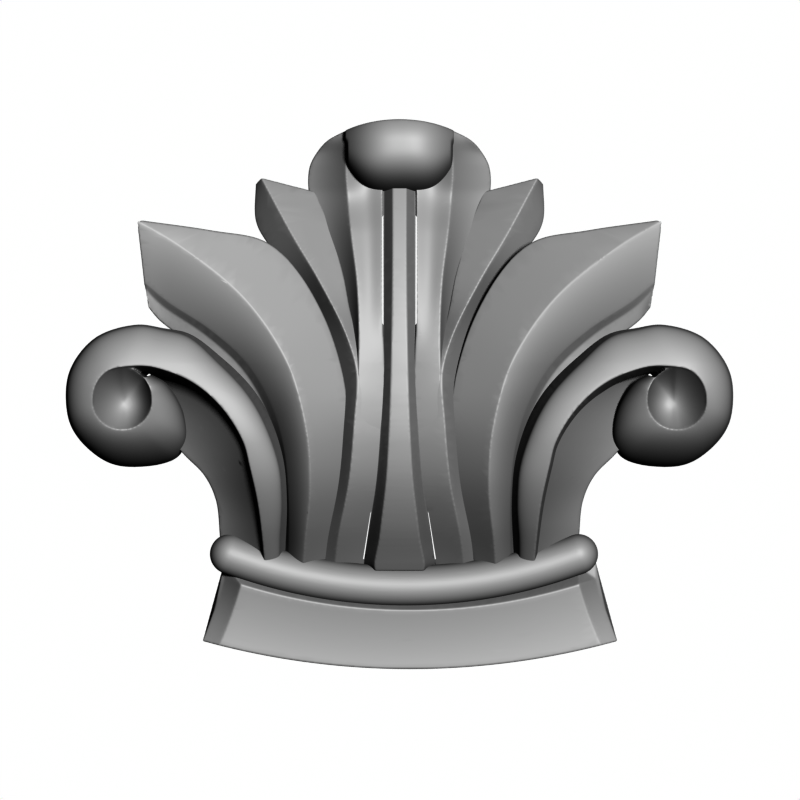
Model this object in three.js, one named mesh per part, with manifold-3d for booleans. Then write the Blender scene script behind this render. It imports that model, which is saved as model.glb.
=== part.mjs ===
// Carved palmette onlay: a plinth bar and a round bead carry a fan of leaves with a folded tip and two
// scrolls. It is one solid with a flat back, and is fixed to a wall or a piece of furniture by that back.
// Millimetres, +Z up, +X to the right, the front faces -Y. The origin is on the back, behind the plinth.

import * as THREE from 'three';
import { mergeVertices } from 'three/addons/utils/BufferGeometryUtils.js';
import Module from 'manifold-3d';

// Driving dimensions of the base
const PLINTH_DEPTH = 11.4;
const PLINTH_SIDE_DEPTH = 4.2;
const PLINTH_COVE = 4.6;
const PLINTH_BELOW_ORIGIN = 14.7;
const PLINTH_TOP_HALF = 55.7;
const PLINTH_BOTTOM_HALF = 62.2;
const PLINTH_END_BEVEL = 5;
const PLINTH_EDGE_HEIGHT = 3;
const PLINTH_TOP_BEVEL = 3.9;
const PLINTH_BACK_ARC = 150;
const PLINTH_EDGE_ARC = 171;
const PLINTH_BOTTOM_ARC = 234;
const PLINTH_SHIFT = 3.15;
const BEAD_RADIUS = 6;
const BEAD_ARC = 148.5;
const BEAD_LENGTH = 116.4;
const BEAD_SEAT = 1.8;
const BEAD_SHIFT = 1.35;
const BEAD_OVERLAP = 2.6;
const BEAD_SEGMENTS = 16;
const BEAD_END_TURNS = [88, 65, 42, 20];
const BASE_STEPS = 16;

// Driving dimensions of the fan. Its carving is drawn on a grid of GRID units to the fan's height.
const FAN_HEIGHT = 133.2;
const FAN_WIDTH = 200.7;
const GRID = 444;
const GRID_WIDTH = 669;
const unit = FAN_HEIGHT / GRID;
const unitAcross = FAN_WIDTH / GRID_WIDTH;

// Places that follow from the sizes above
const beadDepth = BEAD_RADIUS + BEAD_SEAT;
const beadAxisZ = PLINTH_EDGE_HEIGHT + PLINTH_TOP_BEVEL + BEAD_RADIUS - BEAD_OVERLAP;
const footZ = beadAxisZ + BEAD_RADIUS + 0.75;
const footDepth = beadDepth / unit;

// Depths of the fan, in grid units
const BELLY_STEP = 40;
const BELLY_SWELL = [[0], [47.5], [82], [100.5], [108.3], [110.5]];
const BELLY_START = 1.25;
const FOOT_TUCK = 9;
const LEAN_BACK = 34;
const LEAN_HEIGHT = 176;
const EDGE = 22;
const ROOT = -17;

const mix = (a, b, t) => a + (b - a) * t;

// A smooth value through a list of rows of numbers, at t from 0 to 1. Rows that aren't even bend less where
// they lie far apart.
function along(rows, t, even = false) {
  const place = t * (rows.length - 1);
  const i = Math.min(Math.floor(place), rows.length - 2);
  const f = place - i;
  const [b, c] = [rows[i], rows[i + 1]];
  const before = rows[i - 1] ?? b.map((value, k) => 2 * value - c[k]);
  const after = rows[i + 2] ?? c.map((value, k) => 2 * value - b[k]);
  const gap = (from, to) => even || Math.hypot(...from.map((value, k) => to[k] - value));
  const [gapIn, gapHere, gapOut] = [gap(before, b), gap(b, c), gap(c, after)];
  return b.map((value, k) => {
    const step = c[k] - value;
    const slopeIn = ((value - before[k]) * gapHere ** 2 / gapIn + step * gapIn) / (gapIn + gapHere);
    const slopeOut = (step * gapOut + (after[k] - c[k]) * gapHere ** 2 / gapOut) / (gapHere + gapOut);
    const near = 2 * value - 2 * c[k] + slopeIn + slopeOut;
    const far = -3 * value + 3 * c[k] - 2 * slopeIn - slopeOut;
    return ((near * f + far) * f + slopeIn) * f + value;
  });
}

// How far the fan stands forward of its foot at height z: it swells quickly, then leans back a little.
function belly(z, lean) {
  if (z <= 0) {
    return Math.max(z, -FOOT_TUCK) * BELLY_START;
  }
  const top = BELLY_STEP * (BELLY_SWELL.length - 1);
  if (z < top) {
    return along(BELLY_SWELL, z / top, true)[0];
  }
  return BELLY_SWELL.at(-1)[0] - lean * ((z - top) / LEAN_HEIGHT) ** 2;
}

// The ways a surface falls between two rails: q runs from the higher rail to the lower one.
const falls = {
  flat: (q) => q,
  hollow: (q) => 0.5 * q + 0.5 * (1 - (1 - q) ** 2),
  swell: (q) => 0.45 * q + 0.55 * q * q,
  round: (q) => 0.2 * q + 0.8 * (1 - Math.sqrt(1 - q * q)),
};

// Points across the front of a leaf, from its first rail to its last. Each is [x, z, drop below the ridge
// line]. A curve takes in two spans at once.
function acrossFront(rails, spans) {
  const points = [rails[0]];
  let i = 0;
  for (const { fall, steps } of spans) {
    const curved = fall === 'curve';
    const [from, to] = [rails[i], rails[i + 1]];
    for (let k = 1; k <= steps; k += 1) {
      const q = k / steps;
      if (curved) {
        points.push(along(rails.slice(i, i + 3), q, true));
      } else {
        const share = to[2] > from[2] ? falls[fall](q) : 1 - falls[fall](1 - q);
        points.push([mix(from[0], to[0], q), mix(from[1], to[1], q), mix(from[2], to[2], share)]);
      }
    }
    i += curved ? 2 : 1;
  }
  return points;
}

// One closed ring round a leaf: the carved front, then its edges, cut back to a smaller foot on the wall.
function leafRing(leaf, t) {
  const values = along(leaf.rows.map((row) => row.flat()), t);
  const rails = leaf.rows[0].map((_, i) => values.slice(3 * i, 3 * i + 3));
  const front = acrossFront(rails, leaf.spans).map(([x, z, drop]) => [
    x, leaf.rise + belly(z, leaf.lean) - drop, z,
  ]);
  const first = front[0];
  const last = front[front.length - 1];
  const lift = THREE.MathUtils.smoothstep(t, leaf.liftFrom, 1);
  const backLevel = Math.min(...front.map((p) => p[1])) - EDGE;
  const heel = (near, away, inset) => [
    mix(near[0], away[0], inset), Math.max(lift * backLevel, 0), mix(near[2], away[2], inset),
  ];
  const edgeBack = (p) => [p[0], Math.max(p[1] - EDGE, 2), p[2]];
  return [
    ...front, edgeBack(last), heel(last, first, leaf.insetLast),
    heel(first, last, leaf.insetFirst), edgeBack(first),
  ];
}

// Closed rings of [x, depth, z] become one solid: the sides between them, and a fan of triangles at each end.
function ringsToGeometry(rings, toPoint) {
  const count = rings[0].length;
  const positions = rings.flat().map(toPoint).flat();
  const index = [];
  for (let i = 0; i + 1 < rings.length; i += 1) {
    for (let k = 0; k < count; k += 1) {
      const [a, b] = [i * count + k, i * count + ((k + 1) % count)];
      index.push(a, b, b + count, a, b + count, a + count);
    }
  }
  for (const base of [0, (rings.length - 1) * count]) {
    const middle = positions.length / 3;
    for (let axis = 0; axis < 3; axis += 1) {
      let sum = 0;
      for (let k = 0; k < count; k += 1) {
        sum += positions[3 * (base + k) + axis];
      }
      positions.push(sum / count);
    }
    for (let k = 0; k < count; k += 1) {
      const [a, b] = [base + k, base + ((k + 1) % count)];
      index.push(middle, base ? a : b, base ? b : a);
    }
  }
  const geometry = new THREE.BufferGeometry();
  geometry.setAttribute('position', new THREE.Float32BufferAttribute(positions, 3));
  geometry.setIndex(index);
  return geometry;
}

const fanPoint = (side) => ([x, depth, z]) => [side * x * unitAcross, -depth * unit, footZ + z * unit];

// The leaves of one half. Every row is a station from foot to tip: its rails as [x, z, drop].
const STATION_STEPS = 2;

const tongueLeaf = {
  rise: footDepth + 7, lean: LEAN_BACK, liftFrom: 0.62, insetFirst: 0, insetLast: 0.3,
  spans: [{ fall: 'flat', steps: 2 }, { fall: 'flat', steps: 3 }],
  rows: [
    [[37, ROOT, 8], [66, ROOT, 0], [83, ROOT, 12]],
    [[32.5, 20, 12], [62, 20, 0], [76, 20, 15]],
    [[20.5, 83, 10.6], [50.5, 83, 0], [63, 83, 20]],
    [[16, 140, 8.3], [45.5, 140, 0], [57, 140, 19]],
    [[14.8, 190, 9], [43, 190, 0], [58.5, 186, 24]],
    [[40, 226, 14], [51, 222, 4], [67, 220, 30]],
    [[57, 292, 23], [81, 283, 12], [92, 272, 41]],
    [[70, 338, 28], [109.5, 331.6, 15], [130, 317, 46]],
    [[80, 362, 29], [128, 366, 15], [144, 345, 46]],
    [[84, 371.5, 29], [138.5, 385.5, 15], [143.5, 380, 28]],
  ],
};

const innerLobe = {
  rise: footDepth + 7, lean: LEAN_BACK, liftFrom: 0.85, insetFirst: 0, insetLast: 0.15,
  spans: [{ fall: 'curve', steps: 4 }, { fall: 'hollow', steps: 4 }],
  rows: [
    [[19.5, 100, 11.6], [30, 100, 7.8], [42, 100, 3.7], [46, 100, 10]],
    [[15.6, 150, 7], [30, 150, 3.6], [43, 150, 0.6], [46, 150, 8]],
    [[14.8, 178, 5.7], [29, 178, 2.5], [42, 178, 0], [45, 178, 7]],
    [[15, 205, 4.6], [28.5, 205, 2], [41, 205, 0], [45, 205, 10]],
    [[16.6, 240, 2], [29, 240, 2.2], [41, 240, 0.6], [51, 240, 22]],
    [[16.8, 283, 2], [30, 283, 4], [43, 283, 1], [64.5, 283, 33]],
    [[16.8, 330, 3], [31.5, 330, 6], [48.6, 330, 2], [80.5, 330, 34]],
    [[16.8, 370, 3], [33.5, 370, 7], [52.3, 370, 3], [90.5, 370, 31]],
    [[17, 384, -1], [34, 384, 2], [53.3, 384, -6], [91.3, 383, 22.5]],
    [[17, 398, -9], [36, 398, -9], [53.5, 398, -16.5], [89.5, 397, 11.5]],
    [[17, 411, -24], [36, 411, -25], [52.5, 411, -28], [82.5, 410.5, -1.5]],
    [[16, 424, -38], [34, 424, -39], [51, 424, -39.5], [70.5, 423.5, -24]],
    [[15, 435, -50], [30, 435, -50], [42, 435, -50], [50, 434, -43]],
  ],
};

const sideLeaf = {
  rise: footDepth + 16, lean: 0, liftFrom: 0.62, insetFirst: 0.15, insetLast: 0.3,
  spans: [
    { fall: 'flat', steps: 2 }, { fall: 'swell', steps: 4 },
    { fall: 'flat', steps: 1 }, { fall: 'flat', steps: 1 },
  ],
  rows: [
    [[79, ROOT, 12], [97, ROOT, 0], [112, ROOT, 16], [114, ROOT, 19], [118, ROOT, 22]],
    [[70, 20, 22], [94.5, 20, 0], [111, 20, 25], [113.5, 20, 34], [118, 20, 46]],
    [[60, 73, 26], [89.5, 73, 0], [111.5, 73, 28], [114.5, 73, 40], [120, 73, 54]],
    [[54.5, 123, 27], [91.7, 123, 0], [115.5, 114, 30], [120, 112, 44], [126, 110, 54]],
    [[53, 168, 26], [101.5, 170, 0], [125, 150, 31], [130.5, 147, 44], [138, 145, 50]],
    [[75, 246, 26], [120.8, 217, 0], [148.5, 194.5, 29], [154, 190, 41], [168, 183, 46]],
    [[128, 318, 25], [165.6, 275, 0], [190, 234, 27], [195, 229, 38], [213, 222, 44]],
    [[190, 333, 12], [224, 320, -1], [232, 261.5, 24], [236, 256.5, 32], [240, 243, 37]],
    [[259, 342.8, -1], [262.5, 342.5, -2], [255.5, 281, 17], [254.5, 274, 23], [251, 256, 27]],
  ],
};

const scrollWeb = {
  rise: footDepth + 16, lean: 0, liftFrom: 2, insetFirst: 0, insetLast: 0.3,
  spans: [{ fall: 'hollow', steps: 4 }],
  rows: [
    [[132, ROOT, 6], [176, ROOT, 26]],
    [[133, 25, 8], [179.5, 27, 50]],
    [[138, 63, 8], [183.5, 63, 62]],
    [[147, 100, 9], [196, 89, 68]],
    [[155, 128, 10], [214.8, 108, 76]],
    [[170, 155, 13], [232, 128, 84]],
    [[193, 178, 20], [243, 155, 88]],
    [[220, 193, 28], [248, 180, 88]],
    [[243, 196, 38], [250, 190, 80]],
    [[262, 196, 50], [262, 176, 78]],
  ],
};

// The scroll: its stem's outer edge and rim are drawn by hand, and wind on as arcs round two centres.
const SCROLL_CENTRE = [263, 167];
const EYE_OFFSET = [14.5, -4];
const EYE_CENTRE = SCROLL_CENTRE.map((place, axis) => place + EYE_OFFSET[axis]);
const EYE_RADIUS = 29.5;
const EYE_ARCH = 0.13;
const EYE_DEPTH = 46;
// Each row: the stem's outer edge [x, z, drop], its rim [x, z, drop], and the wall's width beside the edge
const scrollStem = [
  [112, ROOT, 10, 134, ROOT, 0, 7.5],
  [112, 20, 14, 136.8, 20, 0, 7.5],
  [110, 61, 15, 142, 61, 0, 7.5],
  [113.5, 100, 15, 150, 97, 0, 7.5],
  [124, 133, 15, 156, 120, 0, 7.5],
  [144.5, 171.3, 15, 175, 152, 0, 7.5],
  [177.8, 205.5, 17, 202, 177.5, 0, 6],
  [211.5, 230, 20, 228, 190.5, 0, 3],
  [236, 235, 20, 251, 196.8, 0, 1.5],
];
// Along the coil: the outer edge's angle, radius and drop, and the rim's angle round the eye and drop
const scrollCoil = [
  [90, 71.5, 20, 92, 0],
  [55, 71.5, 24, 58, 2],
  [20, 71.5, 32, 22, 6],
  [-15, 71.5, 42, -14, 12],
  [-50, 71.5, 83, -50, 20],
  [-80, 71.5, 121, -80, 25],
  [-108, 72, 123, -108, 27],
  [-124, 73.5, 104, -126, 26],
  [-140, 66, 80, -144, 24],
  [-163, 48.5, 63, -164, 21],
  [-184, 38, 54, -184, 18],
  [-208, 31.5, 46, -204, 15],
  [-234, 26.5, 42, -226, 18],
];

// A place on the rim round the eye, which is arched at its top
function eyeRim(degrees, share) {
  const a = THREE.MathUtils.degToRad(degrees);
  const radius = EYE_RADIUS * share * (1 + EYE_ARCH * Math.max(Math.sin(a), 0) ** 2);
  return [EYE_CENTRE[0] + radius * Math.cos(a), EYE_CENTRE[1] + radius * Math.sin(a)];
}

function coilStation([angle, radius, drop, rimAngle, rimDrop]) {
  const a = THREE.MathUtils.degToRad(angle);
  return [
    SCROLL_CENTRE[0] + radius * Math.cos(a), SCROLL_CENTRE[1] + radius * Math.sin(a), drop,
    ...eyeRim(rimAngle, 1), rimDrop, COIL_WALL,
  ];
}

const SCROLL_RISE = footDepth + 16;
const SCROLL_FRONT_STEPS = 6;
const COIL_WALL = 1;
const WALL_SLOPE = 3.6;
const UNDER_RIM = { reach: 6, drop: 42 };
const CURL_SPAN = [0.26, 0.43];
const scrollStations = [...scrollStem, ...scrollCoil.map(coilStation)];

// One ring round the scroll's band: the front falls from the rim to the wall at its outer edge, and the back
// curls under.
function scrollRing(t) {
  const s = along(scrollStations, t);
  const [outer, rim, wall] = [s.slice(0, 3), s.slice(3, 6), s[6]];
  const width = Math.hypot(rim[0] - outer[0], rim[1] - outer[1]);
  const level = (z) => SCROLL_RISE + belly(z, 0);
  const front = [];
  for (let k = 0; k <= SCROLL_FRONT_STEPS; k += 1) {
    const q = Math.sin((k / SCROLL_FRONT_STEPS) * Math.PI / 2);
    const across = q * (1 - wall / width);
    const [x, z] = [mix(rim[0], outer[0], across), mix(rim[1], outer[1], across)];
    front.push([x, level(z) - mix(rim[2], outer[2], falls.round(q)), z]);
  }
  const edge = front[front.length - 1][1] - wall * WALL_SLOPE;
  const across = (share, depth) => [
    mix(outer[0], rim[0], share), Math.max(depth, 0), mix(outer[1], rim[1], share),
  ];
  const curl = THREE.MathUtils.smoothstep(t, ...CURL_SPAN);
  const inward = 1 + UNDER_RIM.reach / width;
  return [
    ...front,
    across(0, edge),
    across(0.04 * curl, edge - EDGE * 0.6),
    across(0.2 * curl, edge - EDGE * 1.3),
    across(0.5 * curl, 0),
    across(inward, 0),
    across(inward, level(rim[1]) - rim[2] - UNDER_RIM.drop),
  ];
}

// The eye of the scroll: a round plug with a hollow front. Its rim follows the coil's, and its floor lies
// off centre.
const EYE_RINGS = [0.02, 0.25, 0.5, 0.75, 1];
const EYE_CURVE = { plain: 1.8, inner: 1.2 };
const EYE_SINK = 3;
const EYE_SEGMENTS = 20;
const EYE_LEDGE = 1;

function eyeRings() {
  const rim = [...scrollCoil.map((row) => [row[3], row[4]]), [scrollCoil[0][3] - 360, scrollCoil[0][4]]];
  const rimDrop = (degrees) => {
    const i = rim.findIndex(([angle]) => degrees >= angle);
    const [[from, a], [to, b]] = [rim[i - 1], rim[i]];
    return mix(a, b, (from - degrees) / (from - to));
  };
  const floor = SCROLL_RISE + belly(EYE_CENTRE[1] - EYE_SINK, 0) - EYE_DEPTH;
  const circle = (share, depthAt) => Array.from({ length: EYE_SEGMENTS }, (_, k) => {
    const degrees = rim[0][0] - 360 * ((k + 0.5) / EYE_SEGMENTS);
    const [x, z] = eyeRim(degrees, share);
    const edge = SCROLL_RISE + belly(eyeRim(degrees, 1)[1], 0) - rimDrop(degrees) - EYE_LEDGE;
    const towardsStem = Math.max(-Math.cos(THREE.MathUtils.degToRad(degrees)), 0);
    const curve = EYE_CURVE.plain + EYE_CURVE.inner * towardsStem;
    return [x - EYE_SINK * (1 - share), depthAt(edge, curve), z - EYE_SINK * (1 - share)];
  });
  const rings = EYE_RINGS.map((share) => circle(share, (edge, curve) => mix(floor, edge, share ** curve)));
  return [...rings, circle(1.1, () => 0), circle(0.02, () => 0)];
}

// The middle rib: a long bar with a flat face and two steep chamfers. Each row is z, half face, half width
// and the extra depth with which its foot laps over the bead.
const ribRows = [
  [-7.5, 24.5, 27, 10.5], [-1, 25, 36, 10], [23, 20.5, 32.8, 8.5], [43, 18, 29.4, 6.5], [83, 13.4, 23.4, 2.5],
  [123, 11, 19.8, 0.5], [163, 9.4, 17.6, 0], [223, 8, 16.4, 0], [313, 7, 15.9, 0], [392, 7, 15.7, 0],
];
const RIB_RISE = footDepth + 14;
const RIB_CHAMFER_SLOPE = 1.8;
const RIB_LEDGE = 3;
const RIB_STEPS = 3;

function ribRing(t) {
  const [z, face, half, lift] = along(ribRows, t);
  const course = RIB_RISE + belly(z, LEAN_BACK);
  const [front, shoulder] = [course + lift, course - (half - face) * RIB_CHAMFER_SLOPE];
  const ledge = half + RIB_LEDGE;
  return [
    [-ledge, shoulder, z], [-half, shoulder, z], [-face, front, z],
    [face, front, z], [half, shoulder, z], [ledge, shoulder, z], [ledge, 0, z], [-ledge, 0, z],
  ];
}

// Fretted slits go right through on both sides of the rib. Each corner is [x, z].
const slits = [
  [[15.8, 238], [17.3, 240], [17.5, 346], [16, 348]],
  [[35.2, 4], [36.6, 4], [29.2, 50], [28.2, 52]],
];
const SLIT_REACH = 400;

// The hood's outline is half an ellipse. Its folded tip swells out in front, down to a lip with a steep
// underside.
const HOOD = { halfWidth: 91.5, top: 444, rise: 58 };
const FOLD = {
  halfWidth: 55, front: footDepth + 140, swell: 30, low: 369, lift: 29.3, lipCurve: 3.5, heel: 15,
  wall: 30, wallFrom: 0.94, browEnd: [0.2, 0.45], foremost: 0.3, brow: 7, overhang: 58, lip: 22,
};
const FOLD_STEPS = 15;
const FOLD_SLICES = 24;
const FOLD_REACH = 0.985 * FOLD.halfWidth;

// An upright slice of the fold at x
function foldRing(x) {
  const share = Math.abs(x) / FOLD.halfWidth;
  const top = HOOD.top - HOOD.rise * (1 - Math.sqrt(1 - (x / HOOD.halfWidth) ** 2));
  const low = FOLD.low + FOLD.lift * share ** FOLD.lipCurve;
  const size = (top - low) / (HOOD.top - FOLD.low);
  const wall = FOLD.wall * THREE.MathUtils.smoothstep(share, FOLD.wallFrom, 1);
  const ring = [];
  for (let k = 0; k <= FOLD_STEPS; k += 1) {
    const v = k / FOLD_STEPS;
    const under = (v - FOLD.foremost) / (1 - FOLD.foremost);
    const back = v < FOLD.foremost ? FOLD.brow * (1 - v / FOLD.foremost) ** 2
      : FOLD.overhang * under ** 3 + FOLD.lip * under ** 8;
    const beside = wall * THREE.MathUtils.smoothstep(v, ...FOLD.browEnd);
    ring.push([x, FOLD.front - FOLD.swell * share ** 3 - back * size - beside, mix(top, low, v)]);
  }
  ring.push([x, 0, low], [x, 0, low + FOLD.heel], [x, ring[0][1] - EDGE, top - 1]);
  return ring;
}

// The bead: a round bar bent to an arc, with round ends.
function beadRings() {
  const rings = [];
  const half = Math.asin((BEAD_LENGTH / 2 - BEAD_RADIUS) / BEAD_ARC);
  const addRing = (angle, radius, push) => {
    rings.push(Array.from({ length: BEAD_SEGMENTS }, (_, k) => {
      const turn = (k / BEAD_SEGMENTS) * 2 * Math.PI;
      const arc = BEAD_ARC + radius * Math.cos(turn);
      const along3 = [Math.sin(angle), -Math.cos(angle)];
      return [
        BEAD_SHIFT + arc * along3[0] + push * Math.cos(angle),
        beadDepth + radius * Math.sin(turn),
        beadAxisZ + BEAD_ARC + arc * along3[1] + push * Math.sin(angle),
      ];
    }));
  };
  for (const degrees of BEAD_END_TURNS) {
    const a = THREE.MathUtils.degToRad(degrees);
    addRing(-half, BEAD_RADIUS * Math.cos(a), -BEAD_RADIUS * Math.sin(a));
  }
  for (let k = 0; k <= BASE_STEPS; k += 1) {
    addRing(mix(-half, half, k / BASE_STEPS), BEAD_RADIUS, 0);
  }
  for (const degrees of BEAD_END_TURNS.toReversed()) {
    const a = THREE.MathUtils.degToRad(degrees);
    addRing(half, BEAD_RADIUS * Math.cos(a), BEAD_RADIUS * Math.sin(a));
  }
  return rings;
}

// The plinth: a bar with a hollow front, bevelled at its top and ends, between two arcs.
function plinthRings() {
  const sag = (arc, x) => arc - Math.sqrt(arc * arc - x * x);
  const coveSteps = 5;
  const profile = (bevel) => {
    const face = mix(PLINTH_SIDE_DEPTH, PLINTH_DEPTH, bevel);
    const shoulder = PLINTH_SIDE_DEPTH * mix(0.7, 1, bevel);
    const points = [{ v: 0, depth: 0, edge: 0 }, { v: 0, depth: shoulder, edge: 0 }];
    for (let k = 0; k <= coveSteps; k += 1) {
      const q = k / coveSteps;
      points.push({ v: q, depth: face - bevel * PLINTH_COVE * falls.hollow(q), edge: 1 });
    }
    points.push({ v: 1, depth: 0, edge: 1 });
    return points;
  };
  const ring = (share, inset, bevel) => profile(bevel).map(({ v, depth, edge }) => {
    const half = mix(PLINTH_TOP_HALF, PLINTH_BOTTOM_HALF, v * (0.75 + 0.25 * v)) - inset;
    const x = share * half;
    const top = PLINTH_EDGE_HEIGHT + PLINTH_TOP_BEVEL + sag(PLINTH_BACK_ARC, x);
    const edgeZ = PLINTH_EDGE_HEIGHT + sag(PLINTH_EDGE_ARC, x);
    const bottom = -PLINTH_BELOW_ORIGIN + sag(PLINTH_BOTTOM_ARC, x);
    const front = mix(Math.min(edgeZ, top - 1), bottom, v);
    return [PLINTH_SHIFT + x, depth, edge ? front : top];
  });
  const rings = [ring(-1, 0, 0)];
  for (let k = 0; k <= BASE_STEPS; k += 1) {
    rings.push(ring(mix(-1, 1, k / BASE_STEPS), PLINTH_END_BEVEL, 1));
  }
  rings.push(ring(1, 0, 0));
  return rings;
}

// Rings for each piece of the carving, evenly spaced along it
const spaced = (count, ringAt) => Array.from({ length: count + 1 }, (_, k) => ringAt(k / count));
const leafRings = (leaf) => spaced((leaf.rows.length - 1) * STATION_STEPS, (t) => leafRing(leaf, t));

// Joining: each set of rings becomes a solid, and all the solids become one.
const wasm = await Module();
wasm.setup();

function toSolid(rings, toPoint) {
  const merged = mergeVertices(ringsToGeometry(rings, toPoint), 1e-5);
  const vertProperties = new Float32Array(merged.attributes.position.array);
  const triVerts = new Uint32Array(merged.index.array);
  let volume = 0;
  const corner = (i) => new THREE.Vector3().fromArray(vertProperties, 3 * triVerts[i]);
  for (let i = 0; i < triVerts.length; i += 3) {
    volume += corner(i).dot(corner(i + 1).cross(corner(i + 2)));
  }
  if (volume < 0) {
    for (let i = 0; i < triVerts.length; i += 3) {
      [triVerts[i], triVerts[i + 1]] = [triVerts[i + 1], triVerts[i]];
    }
  }
  return new wasm.Manifold(new wasm.Mesh({ numProp: 3, vertProperties, triVerts }));
}

const basePoint = ([x, depth, z]) => [x, -depth, z];
let onlay = toSolid(beadRings(), basePoint).add(toSolid(plinthRings(), basePoint));
for (const side of [-1, 1]) {
  for (const leaf of [tongueLeaf, innerLobe, sideLeaf, scrollWeb]) {
    onlay = onlay.add(toSolid(leafRings(leaf), fanPoint(side)));
  }
  onlay = onlay.add(toSolid(spaced((scrollStations.length - 1) * STATION_STEPS, scrollRing), fanPoint(side)));
  onlay = onlay.add(toSolid(eyeRings(), fanPoint(side)));
}
onlay = onlay.add(toSolid(spaced((ribRows.length - 1) * RIB_STEPS, ribRing), fanPoint(1)));
const foldRings = spaced(FOLD_SLICES, (t) => foldRing(mix(-FOLD_REACH, FOLD_REACH, t)));
onlay = onlay.add(toSolid(foldRings, fanPoint(1)));
for (const side of [-1, 1]) {
  for (const slit of slits) {
    const rings = [-SLIT_REACH, SLIT_REACH].map((depth) => slit.map(([x, z]) => [x, depth, z]));
    onlay = onlay.subtract(toSolid(rings, fanPoint(side)));
  }
}

const WELD = 0.03;
const mesh = onlay.simplify(WELD).getMesh();
const geometry = new THREE.BufferGeometry();
geometry.setAttribute('position', new THREE.BufferAttribute(mesh.vertProperties, 3));
geometry.setIndex(new THREE.BufferAttribute(mesh.triVerts, 1));

const grey = new THREE.MeshStandardMaterial({ color: 0x8c8c8c, roughness: 0.45, metalness: 0 });
const carving = new THREE.Mesh(geometry, grey);
carving.name = 'onlay';

const group = new THREE.Group();
group.add(carving);

export default group;
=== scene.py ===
"""The carved palmette onlay at full detail, in place of its CAD solid, with a plain stage, lights and the camera.

The carving is drawn as in the solid, the base in millimetres and the fan on a grid of units, and made in metres.
"""
import math

import bmesh
import bpy
import numpy as np
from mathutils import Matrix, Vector


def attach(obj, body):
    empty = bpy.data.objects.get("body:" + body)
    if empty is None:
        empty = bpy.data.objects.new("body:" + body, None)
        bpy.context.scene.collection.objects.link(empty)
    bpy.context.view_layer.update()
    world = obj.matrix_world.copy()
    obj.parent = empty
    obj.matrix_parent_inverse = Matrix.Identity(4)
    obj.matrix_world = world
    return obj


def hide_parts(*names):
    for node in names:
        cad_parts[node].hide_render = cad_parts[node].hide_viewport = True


MM = 0.001

# Base, in millimetres
PLINTH_DEPTH = 11.4
PLINTH_SIDE_DEPTH = 4.2
PLINTH_COVE = 4.6
PLINTH_BELOW_ORIGIN = 14.7
PLINTH_TOP_HALF = 55.7
PLINTH_BOTTOM_HALF = 62.2
PLINTH_END_BEVEL = 5.0
PLINTH_EDGE_HEIGHT = 3.0
PLINTH_TOP_BEVEL = 3.9
PLINTH_BACK_ARC = 150.0
PLINTH_EDGE_ARC = 171.0
PLINTH_BOTTOM_ARC = 234.0
PLINTH_SHIFT = 3.15
BEAD_RADIUS = 6.0
BEAD_ARC = 148.5
BEAD_LENGTH = 116.4
BEAD_SEAT = 1.8
BEAD_SHIFT = 1.35
BEAD_OVERLAP = 2.6

# Fan, on a grid of GRID units to its height
FAN_HEIGHT = 133.2
GRID = 444
UNIT = FAN_HEIGHT / GRID
BEAD_DEPTH = BEAD_RADIUS + BEAD_SEAT
BEAD_AXIS_Z = PLINTH_EDGE_HEIGHT + PLINTH_TOP_BEVEL + BEAD_RADIUS - BEAD_OVERLAP
FOOT_GAP = 0.75
FOOT_Z = BEAD_AXIS_Z + BEAD_RADIUS + FOOT_GAP
FOOT_DEPTH = BEAD_DEPTH / UNIT

BELLY_STEP = 40
BELLY_SWELL = [[0], [47.5], [82], [100.5], [108.3], [110.5]]
BELLY_START = 1.25
FOOT_TUCK = 9
LEAN_BACK = 34
LEAN_HEIGHT = 176
EDGE = 22
ROOT = -17

# How finely the surfaces are laid out
STATION_STEPS = 12
SPAN_STEPS = 4
SCROLL_FRONT_STEPS = 24
EYE_SEGMENTS = 96
EYE_RINGS = 25
RIB_STEPS = 12
FOLD_STEPS = 60
FOLD_SLICES = 80
BEAD_SEGMENTS = 64
BEAD_END_TURNS = range(86, 0, -8)
BASE_STEPS = 64
COVE_STEPS = 24

# The skin of each form: its voxels in millimetres, the share of its faces that is kept, and its softened edges
SKIN_GRAIN = 0.3
SKIN_SHARE = 0.055
SOFTENING = 5
SHARP_ANGLE = 55


def mix(a, b, t):
    return a + (b - a) * t


def along(rows, t, even=False):
    """A smooth value through rows of numbers, at t from 0 to 1. Rows that aren't even bend less when far apart."""
    place = t * (len(rows) - 1)
    i = min(int(place), len(rows) - 2)
    f = place - i
    b, c = np.asarray(rows[i], float), np.asarray(rows[i + 1], float)
    before = np.asarray(rows[i - 1], float) if i > 0 else 2 * b - c
    after = np.asarray(rows[i + 2], float) if i + 2 < len(rows) else 2 * c - b
    gap_in, gap_here, gap_out = (even or math.sqrt(sum(step ** 2)) for step in (b - before, c - b, after - c))
    slope_in = ((b - before) * gap_here ** 2 / gap_in + (c - b) * gap_in) / (gap_in + gap_here)
    slope_out = ((c - b) * gap_out + (after - c) * gap_here ** 2 / gap_out) / (gap_here + gap_out)
    near = 2 * b - 2 * c + slope_in + slope_out
    far = -3 * b + 3 * c - 2 * slope_in - slope_out
    return ((near * f + far) * f + slope_in) * f + b


def belly(z, lean):
    """How far the fan stands forward of its foot at height z."""
    if z <= 0:
        return max(z, -FOOT_TUCK) * BELLY_START
    top = BELLY_STEP * (len(BELLY_SWELL) - 1)
    if z < top:
        return along(BELLY_SWELL, z / top, even=True)[0]
    return BELLY_SWELL[-1][0] - lean * ((z - top) / LEAN_HEIGHT) ** 2


FALLS = {
    "flat": lambda q: q,
    "hollow": lambda q: 0.5 * q + 0.5 * (1 - (1 - q) ** 2),
    "swell": lambda q: 0.45 * q + 0.55 * q * q,
    "round": lambda q: 0.2 * q + 0.8 * (1 - math.sqrt(max(1 - q * q, 0))),
}


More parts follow.
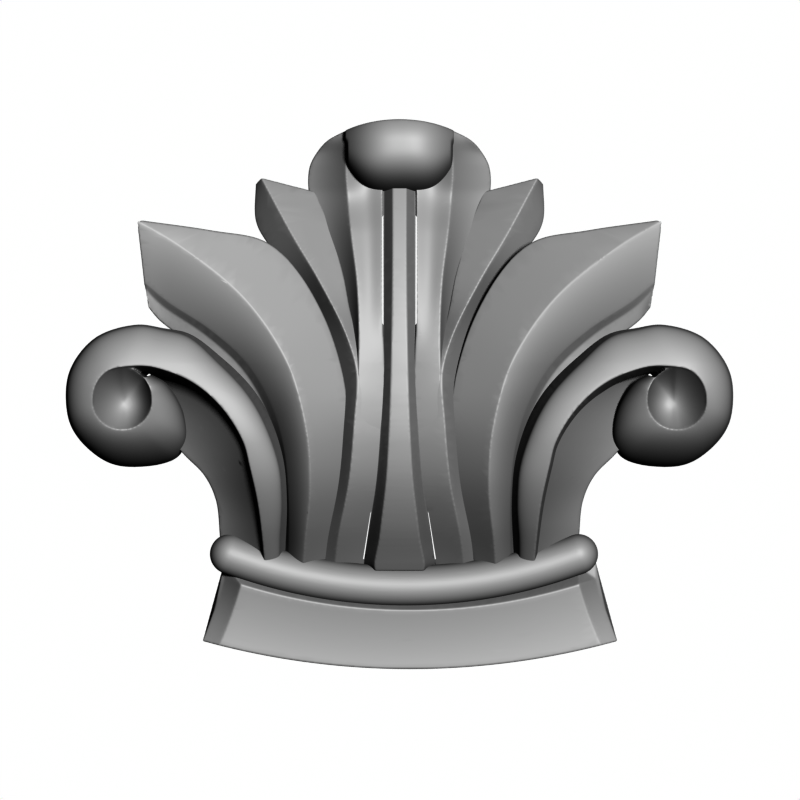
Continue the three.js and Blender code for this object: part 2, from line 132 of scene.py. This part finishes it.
def smoothstep(x, low, high):
    q = min(max((x - low) / (high - low), 0), 1)
    return q * q * (3 - 2 * q)


def leaf_ring(leaf, t):
    """One closed ring round a leaf, of [x, depth, z]."""
    rails = along([np.ravel(row) for row in leaf["rows"]], t).reshape(-1, 3)
    points = [rails[0]]
    i = 0
    for fall, steps in leaf["spans"]:
        steps *= SPAN_STEPS
        a, b = rails[i], rails[i + 1]
        for q in (k / steps for k in range(1, steps + 1)):
            if fall == "curve":
                points.append(along(rails[i:i + 3], q, even=True))
            else:
                share = FALLS[fall](q) if b[2] > a[2] else 1 - FALLS[fall](1 - q)
                points.append([mix(a[0], b[0], q), mix(a[1], b[1], q), mix(a[2], b[2], share)])
        i += 2 if fall == "curve" else 1
    front = [[x, leaf["rise"] + belly(z, leaf["lean"]) - drop, z] for x, z, drop in points]
    first, last = front[0], front[-1]
    lift = smoothstep(t, leaf["lift_from"], 1)
    back_level = min(p[1] for p in front) - EDGE

    def heel(near, away, inset):
        return [mix(near[0], away[0], inset), max(lift * back_level, 0), mix(near[2], away[2], inset)]

    def edge_back(p):
        return [p[0], max(p[1] - EDGE, 2), p[2]]

    first_inset, last_inset = leaf["insets"]
    foot = [heel(last, first, last_inset), heel(first, last, first_inset)]
    return [*front, edge_back(last), *foot, edge_back(first)]


# The leaves of one half. Every row is a station from foot to tip: its rails as [x, z, drop].
TONGUE_LEAF = {
    "rise": FOOT_DEPTH + 7, "lean": LEAN_BACK, "lift_from": 0.62, "insets": (0, 0.3),
    "spans": [("flat", 2), ("flat", 3)],
    "rows": [
        [[37, ROOT, 8], [66, ROOT, 0], [83, ROOT, 12]],
        [[32.5, 20, 12], [62, 20, 0], [76, 20, 15]],
        [[20.5, 83, 10.6], [50.5, 83, 0], [63, 83, 20]],
        [[16, 140, 8.3], [45.5, 140, 0], [57, 140, 19]],
        [[14.8, 190, 9], [43, 190, 0], [58.5, 186, 24]],
        [[40, 226, 14], [51, 222, 4], [67, 220, 30]],
        [[57, 292, 23], [81, 283, 12], [92, 272, 41]],
        [[70, 338, 28], [109.5, 331.6, 15], [130, 317, 46]],
        [[80, 362, 29], [128, 366, 15], [144, 345, 46]],
        [[84, 371.5, 29], [138.5, 385.5, 15], [143.5, 380, 28]],
    ],
}

INNER_LOBE = {
    "rise": FOOT_DEPTH + 7, "lean": LEAN_BACK, "lift_from": 0.85, "insets": (0, 0.15),
    "spans": [("curve", 4), ("hollow", 4)],
    "rows": [
        [[19.5, 100, 11.6], [30, 100, 7.8], [42, 100, 3.7], [46, 100, 10]],
        [[15.6, 150, 7], [30, 150, 3.6], [43, 150, 0.6], [46, 150, 8]],
        [[14.8, 178, 5.7], [29, 178, 2.5], [42, 178, 0], [45, 178, 7]],
        [[15, 205, 4.6], [28.5, 205, 2], [41, 205, 0], [45, 205, 10]],
        [[16.6, 240, 2], [29, 240, 2.2], [41, 240, 0.6], [51, 240, 22]],
        [[16.8, 283, 2], [30, 283, 4], [43, 283, 1], [64.5, 283, 33]],
        [[16.8, 330, 3], [31.5, 330, 6], [48.6, 330, 2], [80.5, 330, 34]],
        [[16.8, 370, 3], [33.5, 370, 7], [52.3, 370, 3], [90.5, 370, 31]],
        [[17, 384, -1], [34, 384, 2], [53.3, 384, -6], [91.3, 383, 22.5]],
        [[17, 398, -9], [36, 398, -9], [53.5, 398, -16.5], [89.5, 397, 11.5]],
        [[17, 411, -24], [36, 411, -25], [52.5, 411, -28], [82.5, 410.5, -1.5]],
        [[16, 424, -38], [34, 424, -39], [51, 424, -39.5], [70.5, 423.5, -24]],
        [[15, 435, -50], [30, 435, -50], [42, 435, -50], [50, 434, -43]],
    ],
}

SIDE_LEAF = {
    "rise": FOOT_DEPTH + 16, "lean": 0, "lift_from": 0.62, "insets": (0.15, 0.3),
    "spans": [("flat", 2), ("swell", 4), ("flat", 1), ("flat", 1)],
    "rows": [
        [[79, ROOT, 12], [97, ROOT, 0], [112, ROOT, 16], [114, ROOT, 19], [118, ROOT, 22]],
        [[70, 20, 22], [94.5, 20, 0], [111, 20, 25], [113.5, 20, 34], [118, 20, 46]],
        [[60, 73, 26], [89.5, 73, 0], [111.5, 73, 28], [114.5, 73, 40], [120, 73, 54]],
        [[54.5, 123, 27], [91.7, 123, 0], [115.5, 114, 30], [120, 112, 44], [126, 110, 54]],
        [[53, 168, 26], [101.5, 170, 0], [125, 150, 31], [130.5, 147, 44], [138, 145, 50]],
        [[75, 246, 26], [120.8, 217, 0], [148.5, 194.5, 29], [154, 190, 41], [168, 183, 46]],
        [[128, 318, 25], [165.6, 275, 0], [190, 234, 27], [195, 229, 38], [213, 222, 44]],
        [[190, 333, 12], [224, 320, -1], [232, 261.5, 24], [236, 256.5, 32], [240, 243, 37]],
        [[259, 342.8, -1], [262.5, 342.5, -2], [255.5, 281, 17], [254.5, 274, 23], [251, 256, 27]],
    ],
}

SCROLL_WEB = {
    "rise": FOOT_DEPTH + 16, "lean": 0, "lift_from": 2, "insets": (0, 0.3),
    "spans": [("hollow", 4)],
    "rows": [
        [[132, ROOT, 6], [176, ROOT, 26]],
        [[133, 25, 8], [179.5, 27, 50]],
        [[138, 63, 8], [183.5, 63, 62]],
        [[147, 100, 9], [196, 89, 68]],
        [[155, 128, 10], [214.8, 108, 76]],
        [[170, 155, 13], [232, 128, 84]],
        [[193, 178, 20], [243, 155, 88]],
        [[220, 193, 28], [248, 180, 88]],
        [[243, 196, 38], [250, 190, 80]],
        [[262, 196, 50], [262, 176, 78]],
    ],
}

# The scroll: its stem's outer edge and rim are listed, and wind on as arcs round two centres
SCROLL_CENTRE = (263, 167)
EYE_CENTRE = (277.5, 163)
EYE_RADIUS = 29.5
EYE_ARCH = 0.13
EYE_DEPTH = 46
# Each row: the stem's outer edge [x, z, drop], its rim [x, z, drop], and the wall's width beside the edge
SCROLL_STEM = [
    [112, ROOT, 10, 134, ROOT, 0, 7.5],
    [112, 20, 14, 136.8, 20, 0, 7.5],
    [110, 61, 15, 142, 61, 0, 7.5],
    [113.5, 100, 15, 150, 97, 0, 7.5],
    [124, 133, 15, 156, 120, 0, 7.5],
    [144.5, 171.3, 15, 175, 152, 0, 7.5],
    [177.8, 205.5, 17, 202, 177.5, 0, 6],
    [211.5, 230, 20, 228, 190.5, 0, 3],
    [236, 235, 20, 251, 196.8, 0, 1.5],
]
# Along the coil: the outer edge's angle, radius and drop, and the rim's angle round the eye and drop
SCROLL_COIL = [
    [90, 71.5, 20, 92, 0],
    [55, 71.5, 24, 58, 2],
    [20, 71.5, 32, 22, 6],
    [-15, 71.5, 42, -14, 12],
    [-50, 71.5, 83, -50, 20],
    [-80, 71.5, 121, -80, 25],
    [-108, 72, 123, -108, 27],
    [-124, 73.5, 104, -126, 26],
    [-140, 66, 80, -144, 24],
    [-163, 48.5, 63, -164, 21],
    [-184, 38, 54, -184, 18],
    [-208, 31.5, 46, -204, 15],
    [-234, 26.5, 42, -226, 18],
]
SCROLL_RISE = FOOT_DEPTH + 16
COIL_WALL = 1
WALL_SLOPE = 3.6
UNDER_RIM = {"reach": 6, "drop": 42}
CURL_SPAN = (0.26, 0.43)


def eye_rim(degrees, share):
    """A place on the rim round the eye, which is arched at its top."""
    a = math.radians(degrees)
    radius = EYE_RADIUS * share * (1 + EYE_ARCH * max(math.sin(a), 0) ** 2)
    return EYE_CENTRE[0] + radius * math.cos(a), EYE_CENTRE[1] + radius * math.sin(a)


def coil_station(row):
    angle, radius, drop, rim_angle, rim_drop = row
    a = math.radians(angle)
    return [
        SCROLL_CENTRE[0] + radius * math.cos(a), SCROLL_CENTRE[1] + radius * math.sin(a), drop,
        *eye_rim(rim_angle, 1), rim_drop, COIL_WALL,
    ]


SCROLL_STATIONS = [*SCROLL_STEM, *(coil_station(row) for row in SCROLL_COIL)]


def scroll_ring(t):
    """One ring round the scroll's band: the front falls from the rim to the wall at its outer edge."""
    s = along(SCROLL_STATIONS, t)
    outer, rim, wall = s[:3], s[3:6], s[6]
    width = math.hypot(rim[0] - outer[0], rim[1] - outer[1])

    def level(z):
        return SCROLL_RISE + belly(z, 0)

    def across(share, depth):
        return [mix(outer[0], rim[0], share), max(depth, 0), mix(outer[1], rim[1], share)]

    front = []
    for k in range(SCROLL_FRONT_STEPS + 1):
        q = math.sin(k / SCROLL_FRONT_STEPS * math.pi / 2)
        x, _, z = across(1 - q * (1 - wall / width), 0)
        front.append([x, level(z) - mix(rim[2], outer[2], FALLS["round"](q)), z])
    edge = front[-1][1] - wall * WALL_SLOPE
    curl = smoothstep(t, *CURL_SPAN)
    inward = 1 + UNDER_RIM["reach"] / width
    return [
        *front,
        across(0, edge),
        across(0.04 * curl, edge - EDGE * 0.6),
        across(0.2 * curl, edge - EDGE * 1.3),
        across(0.5 * curl, 0),
        across(inward, 0),
        across(inward, level(rim[1]) - rim[2] - UNDER_RIM["drop"]),
    ]


EYE_CURVE = {"plain": 1.8, "inner": 1.2}
EYE_SINK = 3
EYE_LEDGE = 1


def eye_rings():
    """The eye of the scroll: a round plug with a hollow front, whose rim follows the coil's."""
    rim = [(row[3], row[4]) for row in SCROLL_COIL] + [(SCROLL_COIL[0][3] - 360, SCROLL_COIL[0][4])]
    angles, drops = [angle for angle, _ in reversed(rim)], [drop for _, drop in reversed(rim)]
    bottom = SCROLL_RISE + belly(EYE_CENTRE[1] - EYE_SINK, 0) - EYE_DEPTH

    def circle(share, depth_at):
        ring = []
        for k in range(EYE_SEGMENTS):
            degrees = rim[0][0] - 360 * (k + 0.5) / EYE_SEGMENTS
            x, z = eye_rim(degrees, share)
            rim_z = eye_rim(degrees, 1)[1]
            edge = SCROLL_RISE + belly(rim_z, 0) - np.interp(degrees, angles, drops) - EYE_LEDGE
            curve = EYE_CURVE["plain"] + EYE_CURVE["inner"] * max(-math.cos(math.radians(degrees)), 0)
            ring.append([x - EYE_SINK * (1 - share), depth_at(edge, curve), z - EYE_SINK * (1 - share)])
        return ring

    def on_wall(edge, curve):
        return 0

    shares = np.linspace(0.02, 1, EYE_RINGS)
    rings = [circle(share, lambda edge, curve: mix(bottom, edge, share ** curve)) for share in shares]
    return [*rings, circle(1.1, on_wall), circle(0.02, on_wall)]


# The middle rib. Each row is z, half face, half width and the extra depth with which its foot laps over the bead.
RIB_ROWS = [
    [-7.5, 24.5, 27, 10.5], [-1, 25, 36, 10], [23, 20.5, 32.8, 8.5], [43, 18, 29.4, 6.5],
    [83, 13.4, 23.4, 2.5], [123, 11, 19.8, 0.5], [163, 9.4, 17.6, 0], [223, 8, 16.4, 0],
    [313, 7, 15.9, 0], [392, 7, 15.7, 0],
]
RIB_RISE = FOOT_DEPTH + 14
RIB_CHAMFER_SLOPE = 1.8
RIB_LEDGE = 3


def rib_ring(t):
    """One ring round the rib: a flat face and two steep chamfers."""
    z, face, half, lift = along(RIB_ROWS, t)
    course = RIB_RISE + belly(z, LEAN_BACK)
    front, shoulder = course + lift, course - (half - face) * RIB_CHAMFER_SLOPE
    ledge = half + RIB_LEDGE
    return [
        [-ledge, shoulder, z], [-half, shoulder, z], [-face, front, z],
        [face, front, z], [half, shoulder, z], [ledge, shoulder, z], [ledge, 0, z], [-ledge, 0, z],
    ]


# Fretted slits go right through on both sides of the rib. Each corner is [x, z].
SLITS = [
    [[15.8, 238], [17.3, 240], [17.5, 346], [16, 348]],
    [[35.2, 4], [36.6, 4], [29.2, 50], [28.2, 52]],
]
SLIT_REACH = 400

# The hood's outline is half an ellipse, and its folded tip swells out in front
HOOD = {"half_width": 91.5, "top": 444, "rise": 58}
FOLD = {
    "half_width": 55, "front": FOOT_DEPTH + 140, "swell": 30, "low": 369, "lift": 29.3, "lip_curve": 3.5,
    "heel": 15, "wall": 30, "wall_from": 0.94, "brow_end": (0.2, 0.45), "foremost": 0.3, "brow": 7,
    "overhang": 58, "lip": 22, "reach": 0.985,
}


def fold_ring(x):
    """An upright slice of the folded tip at x."""
    share = abs(x) / FOLD["half_width"]
    top = HOOD["top"] - HOOD["rise"] * (1 - math.sqrt(1 - (x / HOOD["half_width"]) ** 2))
    low = FOLD["low"] + FOLD["lift"] * share ** FOLD["lip_curve"]
    size = (top - low) / (HOOD["top"] - FOLD["low"])
    wall = FOLD["wall"] * smoothstep(share, FOLD["wall_from"], 1)
    ring = []
    for k in range(FOLD_STEPS + 1):
        v = k / FOLD_STEPS
        if v < FOLD["foremost"]:
            back = FOLD["brow"] * (1 - v / FOLD["foremost"]) ** 2
        else:
            under = (v - FOLD["foremost"]) / (1 - FOLD["foremost"])
            back = FOLD["overhang"] * under ** 3 + FOLD["lip"] * under ** 8
        beside = wall * smoothstep(v, *FOLD["brow_end"])
        ring.append([x, FOLD["front"] - FOLD["swell"] * share ** 3 - back * size - beside, mix(top, low, v)])
    return [*ring, [x, 0, low], [x, 0, low + FOLD["heel"]], [x, ring[0][1] - EDGE, top - 1]]


def bead_rings():
    """A round bar bent to an arc, with round ends."""
    rings = []
    half = math.asin((BEAD_LENGTH / 2 - BEAD_RADIUS) / BEAD_ARC)

    def add(angle, radius, push):
        ring = []
        for k in range(BEAD_SEGMENTS):
            turn = 2 * math.pi * k / BEAD_SEGMENTS
            arc = BEAD_ARC + radius * math.cos(turn)
            ring.append([
                BEAD_SHIFT + arc * math.sin(angle) + push * math.cos(angle),
                BEAD_DEPTH + radius * math.sin(turn),
                BEAD_AXIS_Z + BEAD_ARC - arc * math.cos(angle) + push * math.sin(angle),
            ])
        rings.append(ring)

    ends = [math.radians(degrees) for degrees in BEAD_END_TURNS]
    for a in ends:
        add(-half, BEAD_RADIUS * math.cos(a), -BEAD_RADIUS * math.sin(a))
    for k in range(BASE_STEPS + 1):
        add(mix(-half, half, k / BASE_STEPS), BEAD_RADIUS, 0)
    for a in reversed(ends):
        add(half, BEAD_RADIUS * math.cos(a), BEAD_RADIUS * math.sin(a))
    return rings


def sag(arc, x):
    return arc - math.sqrt(arc * arc - x * x)


def plinth_rings():
    """A bar with a hollow front, bevelled at its top and ends, between two arcs."""
    def profile(bevel):
        face = mix(PLINTH_SIDE_DEPTH, PLINTH_DEPTH, bevel)
        points = [(0, 0, 0), (0, PLINTH_SIDE_DEPTH * mix(0.7, 1, bevel), 0)]
        for k in range(COVE_STEPS + 1):
            q = k / COVE_STEPS
            points.append((q, face - bevel * PLINTH_COVE * FALLS["hollow"](q), 1))
        return [*points, (1, 0, 1)]

    def ring(share, inset, bevel):
        points = []
        for v, depth, edge in profile(bevel):
            x = share * (mix(PLINTH_TOP_HALF, PLINTH_BOTTOM_HALF, v * (0.75 + 0.25 * v)) - inset)
            top = PLINTH_EDGE_HEIGHT + PLINTH_TOP_BEVEL + sag(PLINTH_BACK_ARC, x)
            edge_z = PLINTH_EDGE_HEIGHT + sag(PLINTH_EDGE_ARC, x)
            bottom = -PLINTH_BELOW_ORIGIN + sag(PLINTH_BOTTOM_ARC, x)
            points.append([PLINTH_SHIFT + x, depth, mix(min(edge_z, top - 1), bottom, v) if edge else top])
        return points

    middle = [ring(mix(-1, 1, k / BASE_STEPS), PLINTH_END_BEVEL, 1) for k in range(BASE_STEPS + 1)]
    return [ring(-1, 0, 0), *middle, ring(1, 0, 0)]


def base_point(p):
    return (p[0] * MM, -p[1] * MM, p[2] * MM)


def fan_point(side):
    return lambda p: (side * p[0] * UNIT * MM, -p[1] * UNIT * MM, (FOOT_Z + p[2] * UNIT) * MM)


class Shell:
    """Gathers closed shells of rings into one mesh."""

    def __init__(self):
        self.points, self.faces = [], []

    def add(self, rings, to_point):
        start, count = len(self.points), len(rings[0])
        for ring in rings:
            self.points.extend(to_point(p) for p in ring)
        for i in range(len(rings) - 1):
            for k in range(count):
                a, b = start + i * count + k, start + i * count + (k + 1) % count
                self.faces.append((a, b, b + count, a + count))
        for base in (start, start + (len(rings) - 1) * count):
            middle = len(self.points)
            self.points.append(tuple(np.mean([self.points[base + k] for k in range(count)], axis=0)))
            for k in range(count):
                self.faces.append((middle, base + k, base + (k + 1) % count))

    def object(self, name):
        mesh = bpy.data.meshes.new(name)
        mesh.from_pydata(self.points, [], self.faces)
        work = bmesh.new()
        work.from_mesh(mesh)
        bmesh.ops.recalc_face_normals(work, faces=work.faces)
        work.to_mesh(mesh)
        work.free()
        made = bpy.data.objects.new(name, mesh)
        bpy.context.scene.collection.objects.link(made)
        return made


def spaced(count, ring_at):
    return [ring_at(k / count) for k in range(count + 1)]


def bake(obj):
    """Replaces the object's mesh by what its modifiers make of it."""
    graph = bpy.context.evaluated_depsgraph_get()
    mesh = bpy.data.meshes.new_from_object(obj.evaluated_get(graph), depsgraph=graph)
    obj.modifiers.clear()
    obj.data = mesh


def carved(name, label, *layers):
    """One form of the carving: its shells under one skin, with its edges softened. Its faces keep its label."""
    shell = Shell()
    for rings, to_point in layers:
        shell.add(rings, to_point)
    form = shell.object(name)
    skin = form.modifiers.new("skin", "REMESH")
    skin.mode = "VOXEL"
    skin.voxel_size = SKIN_GRAIN * MM
    soften = form.modifiers.new("soften", "SMOOTH")
    soften.factor = 0.5
    soften.iterations = SOFTENING
    thin = form.modifiers.new("thin", "DECIMATE")
    thin.ratio = SKIN_SHARE
    bake(form)
    labels = form.data.attributes.new("form", "INT", "FACE")
    labels.data.foreach_set("value", [label] * len(form.data.polygons))
    return form


def sharpen_valleys(mesh):
    """Marks each edge sharp where two forms of the carving meet, by the labels of the faces beside it."""
    label = np.empty(len(mesh.polygons), int)
    mesh.attributes["form"].data.foreach_get("value", label)
    corners = np.empty(len(mesh.polygons), int)
    mesh.polygons.foreach_get("loop_total", corners)
    edge = np.empty(len(mesh.loops), int)
    mesh.loops.foreach_get("edge_index", edge)
    label = np.repeat(label, corners)
    least = np.full(len(mesh.edges), label.max())
    most = np.zeros(len(mesh.edges), int)
    np.minimum.at(least, edge, label)
    np.maximum.at(most, edge, label)
    sharp = mesh.attributes["sharp_edge"].data
    marked = np.empty(len(mesh.edges), bool)
    sharp.foreach_get("value", marked)
    sharp.foreach_set("value", marked | (least != most))


def carve_onlay():
    """Carves the forms one by one and joins them, so that the valleys between them stay sharp."""
    def leaf(table, to_point):
        return spaced((len(table["rows"]) - 1) * STATION_STEPS, lambda t: leaf_ring(table, t)), to_point

    middle = fan_point(1)
    rib = spaced((len(RIB_ROWS) - 1) * RIB_STEPS, rib_ring)
    onlay = carved("onlay_carving", 0, (rib, middle))
    forms = [carved("bead", 1, (bead_rings(), base_point)), carved("plinth", 2, (plinth_rings(), base_point))]
    reach = FOLD["reach"]
    slices = spaced(FOLD_SLICES, lambda t: fold_ring(mix(-reach, reach, t) * FOLD["half_width"]))
    forms.append(carved("fold", 3, (slices, middle)))
    slits = Shell()
    for side in (-1, 1):
        to_point = fan_point(side)
        for table in (TONGUE_LEAF, INNER_LOBE, SIDE_LEAF, SCROLL_WEB):
            forms.append(carved("leaf", len(forms) + 1, leaf(table, to_point)))
        band = spaced((len(SCROLL_STATIONS) - 1) * STATION_STEPS, scroll_ring)
        forms.append(carved("scroll", len(forms) + 1, (band, to_point), (eye_rings(), to_point)))
        for slit in SLITS:
            slits.add([[[x, depth, z] for x, z in slit] for depth in (-SLIT_REACH, SLIT_REACH)], to_point)
    cutter = slits.object("slit_cutter")
    for operation, other in [*(("UNION", form) for form in forms), ("DIFFERENCE", cutter)]:
        join = onlay.modifiers.new(other.name, "BOOLEAN")
        join.operation = operation
        join.solver = "MANIFOLD"
        join.object = other
    bake(onlay)
    for other in (*forms, cutter):
        bpy.data.objects.remove(other)
    onlay.data.polygons.foreach_set("use_smooth", [True] * len(onlay.data.polygons))
    onlay.data.set_sharp_from_angle(angle=math.radians(SHARP_ANGLE))
    sharpen_valleys(onlay.data)
    return onlay


def satin_grey():
    material = bpy.data.materials.new("satin_grey")
    material.use_nodes = True
    shader = material.node_tree.nodes["Principled BSDF"]
    shader.inputs["Base Color"].default_value = (0.26, 0.26, 0.26, 1)
    shader.inputs["Roughness"].default_value = 0.6
    shader.inputs["Specular IOR Level"].default_value = 0.65
    return material


def sun(name, azimuth, elevation, strength, spread):
    """A soft distant light, from degrees to the right of the front and above it."""
    data = bpy.data.lights.new(name, "SUN")
    data.energy = strength
    data.angle = math.radians(spread)
    lamp = bpy.data.objects.new(name, data)
    a, e = math.radians(azimuth), math.radians(elevation)
    towards = Vector((math.sin(a) * math.cos(e), -math.cos(a) * math.cos(e), math.sin(e)))
    lamp.rotation_mode = "QUATERNION"
    lamp.rotation_quaternion = towards.to_track_quat("Z", "Y")
    bpy.context.scene.collection.objects.link(lamp)
    return lamp


def plain_sheet(name, size, place, colour):
    bpy.ops.mesh.primitive_plane_add(size=size, location=place)
    sheet = bpy.context.object
    sheet.name = name
    material = bpy.data.materials.new(name)
    material.use_nodes = True
    shader = material.node_tree.nodes["Principled BSDF"]
    shader.inputs["Base Color"].default_value = (*colour, 1)
    shader.inputs["Roughness"].default_value = 0.9
    sheet.data.materials.append(material)
    return sheet


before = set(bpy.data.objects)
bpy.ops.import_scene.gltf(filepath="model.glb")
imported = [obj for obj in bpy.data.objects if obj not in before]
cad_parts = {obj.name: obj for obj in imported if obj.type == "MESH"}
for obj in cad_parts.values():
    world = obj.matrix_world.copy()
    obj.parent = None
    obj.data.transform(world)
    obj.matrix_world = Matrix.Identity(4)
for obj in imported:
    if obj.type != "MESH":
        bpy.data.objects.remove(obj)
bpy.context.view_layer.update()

carving = carve_onlay()
carving.data.materials.clear()
carving.data.materials.append(satin_grey())
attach(carving, "root")
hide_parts("onlay")
carving.visible_diffuse = carving.visible_glossy = False

# Stage: a pale floor well below, and a white surround
FLOOR_SIZE = 6
FLOOR_Z = -0.075
floor = plain_sheet("floor", FLOOR_SIZE, (0, 0, FLOOR_Z), (0.8, 0.8, 0.8))
floor.visible_diffuse = floor.visible_glossy = False

FILL_STRENGTH = 0.012
world = bpy.data.worlds.new("surround")
bpy.context.scene.world = world
world.use_nodes = True
nodes, links = world.node_tree.nodes, world.node_tree.links
background = nodes["Background"]
background.inputs["Color"].default_value = (1, 1, 1, 1)
background.inputs["Strength"].default_value = FILL_STRENGTH
white = nodes.new("ShaderNodeBackground")
white.inputs["Color"].default_value = (1, 1, 1, 1)
rays = nodes.new("ShaderNodeLightPath")
choose = nodes.new("ShaderNodeMixShader")
links.new(rays.outputs["Is Camera Ray"], choose.inputs["Fac"])
links.new(background.outputs["Background"], choose.inputs[1])
links.new(white.outputs["Background"], choose.inputs[2])
links.new(choose.outputs["Shader"], nodes["World Output"].inputs["Surface"])

# The photo has one soft light beside the camera, which throws no shadows. A weak one behind lights the far sides.
key = sun("key", azimuth=11.5, elevation=6, strength=7.35, spread=8)
key.data.cycles.cast_shadow = False
back = sun("back", azimuth=180, elevation=3, strength=2, spread=8)
back.visible_glossy = False

bpy.context.scene.view_settings.view_transform = "Raw"

# The camera looks straight at the front, as the photo does. The plinth's lowest point is at one of its rows.
PHOTO_SIZE = 800
PHOTO_LOWEST_ROW = 669
PIXEL = 0.3 * MM
camera = bpy.data.objects.new("camera", bpy.data.cameras.new("camera"))
camera.data.type = "ORTHO"
camera.data.ortho_scale = PHOTO_SIZE * PIXEL
camera_z = (PHOTO_LOWEST_ROW - PHOTO_SIZE // 2) * PIXEL - PLINTH_BELOW_ORIGIN * MM
camera.location = (0.5 * PIXEL, -1.2, camera_z)
camera.rotation_euler = (math.pi / 2, 0, 0)
camera.data.clip_start, camera.data.clip_end = 0.01, 20
bpy.context.scene.collection.objects.link(camera)
bpy.context.scene.camera = camera
